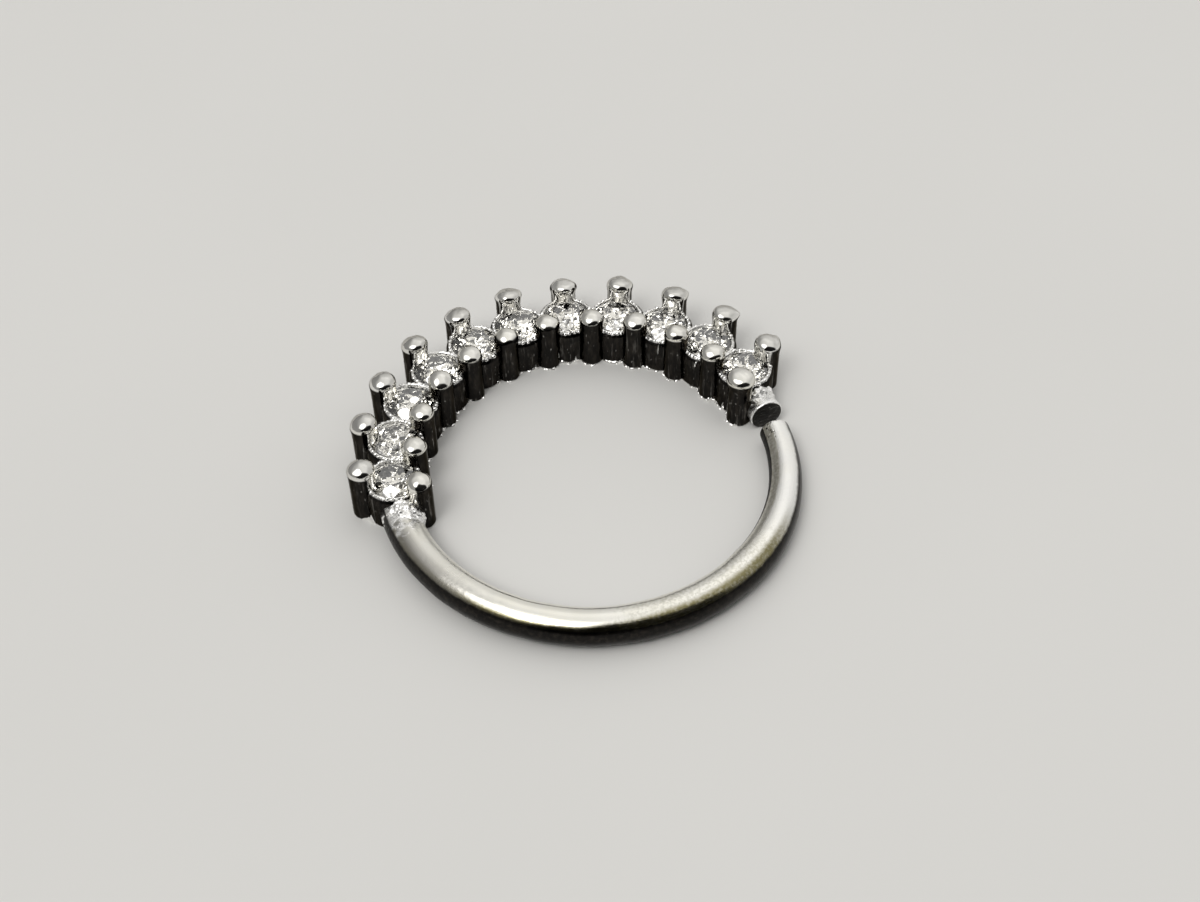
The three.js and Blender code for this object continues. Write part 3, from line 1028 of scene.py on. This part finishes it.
STONE_SEED = 100
STONE_LEANS, STONE_TURNS = (-3, 3), (0, 45)
TABLE_REACH = 0.332
FACETS = [
    {"count": 8, "first": 22.5, "slope": 21.0, "reach": TABLE_REACH, "height": CROWN_HEIGHT},
    {"count": 8, "first": 0.0, "slope": 34.5, "reach": STONE_RADIUS, "height": 0.0},
    {"count": 16, "first": 11.25, "slope": 42.0, "reach": STONE_RADIUS, "height": 0.0},
    {"count": 16, "first": 11.25, "slope": -43.1, "reach": STONE_RADIUS, "height": -GIRDLE_THICKNESS},
    {"count": 8, "first": 0.0, "slope": -41.0, "reach": STONE_RADIUS, "height": -GIRDLE_THICKNESS},
]


def cut_facet(bm, on, facing):
    """Grinds away all that stands past a plane, and closes the cut."""
    everything = bm.verts[:] + bm.edges[:] + bm.faces[:]
    bmesh.ops.bisect_plane(
        bm, geom=everything, dist=SAME_PLACE, plane_co=on, plane_no=facing, clear_outer=True
    )
    bmesh.ops.holes_fill(bm, edges=[line for line in bm.edges if line.is_boundary])


def brilliant():
    """A round brilliant, cut facet by facet from a round blank, with its girdle's top edge at height 0."""
    bm = bmesh.new()
    bmesh.ops.create_cone(
        bm, cap_ends=True, segments=32, radius1=STONE_RADIUS, radius2=STONE_RADIUS, depth=2 * STONE_RADIUS
    )
    cut_facet(bm, Vector((0, 0, CROWN_HEIGHT)), Vector((0, 0, 1)))
    for facet in FACETS:
        for i in range(facet["count"]):
            way = facet["first"] + 360 * i / facet["count"]
            slope = math.radians(abs(facet["slope"]))
            facing = on_hoop(math.sin(slope), way, math.copysign(math.cos(slope), facet["slope"]))
            cut_facet(bm, on_hoop(facet["reach"], way, facet["height"]), facing)
    return bm


for number, angle in enumerate(seats, 1):
    rng = random.Random(STONE_SEED + number)
    place = Matrix.Translation(on_hoop(HOOP_RADIUS, angle, GIRDLE_HEIGHT + GIRDLE_THICKNESS))
    lean = Matrix.Rotation(math.radians(rng.uniform(*STONE_LEANS)), 4, "X")
    lean @= Matrix.Rotation(math.radians(rng.uniform(*STONE_LEANS)), 4, "Y")
    bm = brilliant()
    bmesh.ops.transform(bm, matrix=place @ lean @ turn(rng.uniform(*STONE_TURNS)), verts=bm.verts)
    piece(f"stone_{number:02d}", bm, clear_stone, slot="stone", smooth=False)


# ---- the light, the floor and the camera ----

CAMERA_AIM = (0.25, 1.035, 0.0)
CAMERA_DISTANCE = 50.27
CAMERA_ELEVATION = 48.28
CAMERA_ROLL = -0.81
CAMERA_VIEW = 36.49
CAMERA_NEAR, CAMERA_FAR = 1, 4000

FLOOR_HALF_WIDTH = 1500
FLOOR_SHADE, FLOOR_PALE = (0.7, 0.695, 0.68, 1), (0.74, 0.735, 0.72, 1)

# The tent's cloth glows all over, and more near these places. Each fades from an inner to an outer edge, in
# degrees across from its middle.
TENT_GLOW = 0.3
TENT_WHITE = (1.0, 0.99, 0.965, 1)
PANELS = [
    {"azimuth": 15, "elevation": 35, "inner": 15, "outer": 100, "glow": 0.34},
    {"azimuth": 0, "elevation": 90, "inner": 15, "outer": 60, "glow": 0.36},
    {"azimuth": 72, "elevation": 32, "inner": 12, "outer": 46, "glow": 0.22},
]
OPENING = {"azimuth": -70, "elevation": 12, "inner": 44, "outer": 55}
OPENING_SHADE = 0.98

# Round lamps behind the cloth.
LAMPS = [
    {"azimuth": -135, "elevation": 58, "inner": 16, "outer": 28, "glow": 1.5},
    {"azimuth": -124, "elevation": 56, "inner": 8, "outer": 13, "glow": 5.5},
]


def heading(azimuth, elevation):
    """A direction: azimuth in degrees from +X towards +Y, and elevation above the floor."""
    flat = math.cos(math.radians(elevation))
    return (
        flat * math.cos(math.radians(azimuth)),
        flat * math.sin(math.radians(azimuth)),
        math.sin(math.radians(elevation)),
    )


def make_floor():
    """A wide matt floor, so wide that its edge doesn't show."""
    material, nodes, shader = surface("pale floor", Roughness=0.85)
    own = nodes.add("TexCoord").outputs["Object"]
    shade = nodes.clouds(own, scale=60.0)
    nodes.feed(shader.inputs["Base Color"], nodes.mix(shade, FLOOR_SHADE, FLOOR_PALE))
    bm = bmesh.new()
    bmesh.ops.create_grid(bm, x_segments=1, y_segments=1, size=FLOOR_HALF_WIDTH * MM)
    mesh = bpy.data.meshes.new("floor")
    bm.to_mesh(mesh)
    bm.free()
    mesh.materials.append(material)
    floor = bpy.data.objects.new("floor", mesh)
    bpy.context.scene.collection.objects.link(floor)


def make_studio():
    """A soft white tent, with two lamps behind its cloth at the front left and a dark opening in front."""
    world = bpy.data.worlds.new("studio")
    bpy.context.scene.world = world
    world.use_nodes = True
    nodes = Nodes(world.node_tree)
    way = nodes.add("TexCoord").outputs["Generated"]

    def spread(place):
        """1 near a place on the cloth, and 0 far from it."""
        aim = nodes.add("VectorMath", {"operation": "DOT_PRODUCT"})
        nodes.feed(aim.inputs[0], way)
        nodes.feed(aim.inputs[1], heading(place["azimuth"], place["elevation"]))
        inner, outer = (math.cos(math.radians(place[edge])) for edge in ("inner", "outer"))
        return nodes.between(aim.outputs["Value"], outer, inner)

    def glows(places):
        return [nodes.times(spread(place), place["glow"]) for place in places]

    tent = nodes.total(*glows(PANELS), TENT_GLOW)
    opening = nodes.minus(1.0, nodes.times(spread(OPENING), OPENING_SHADE))
    light = nodes.total(nodes.times(tent, opening), *glows(LAMPS))
    background = nodes.add("Background", Color=TENT_WHITE, Strength=light)
    nodes.feed(nodes.add("OutputWorld").inputs["Surface"], background.outputs[0])


def make_camera():
    """Looks down on the ring from the front, with the stones at the far side."""
    data = bpy.data.cameras.new("camera")
    data.angle = math.radians(CAMERA_VIEW)
    data.clip_start = CAMERA_NEAR * MM
    data.clip_end = CAMERA_FAR * MM
    camera = bpy.data.objects.new("camera", data)
    bpy.context.scene.collection.objects.link(camera)
    aim = (hoop_centre + Vector(CAMERA_AIM)) * MM
    tilt = Matrix.Rotation(math.radians(90 - CAMERA_ELEVATION), 4, "X")
    roll = Matrix.Rotation(math.radians(CAMERA_ROLL), 4, "Z")
    back = Matrix.Translation((0, 0, CAMERA_DISTANCE * MM))
    camera.matrix_world = Matrix.Translation(aim) @ tilt @ roll @ back
    bpy.context.scene.camera = camera


make_floor()
make_studio()
make_camera()
bpy.context.scene.view_settings.view_transform = "Standard"
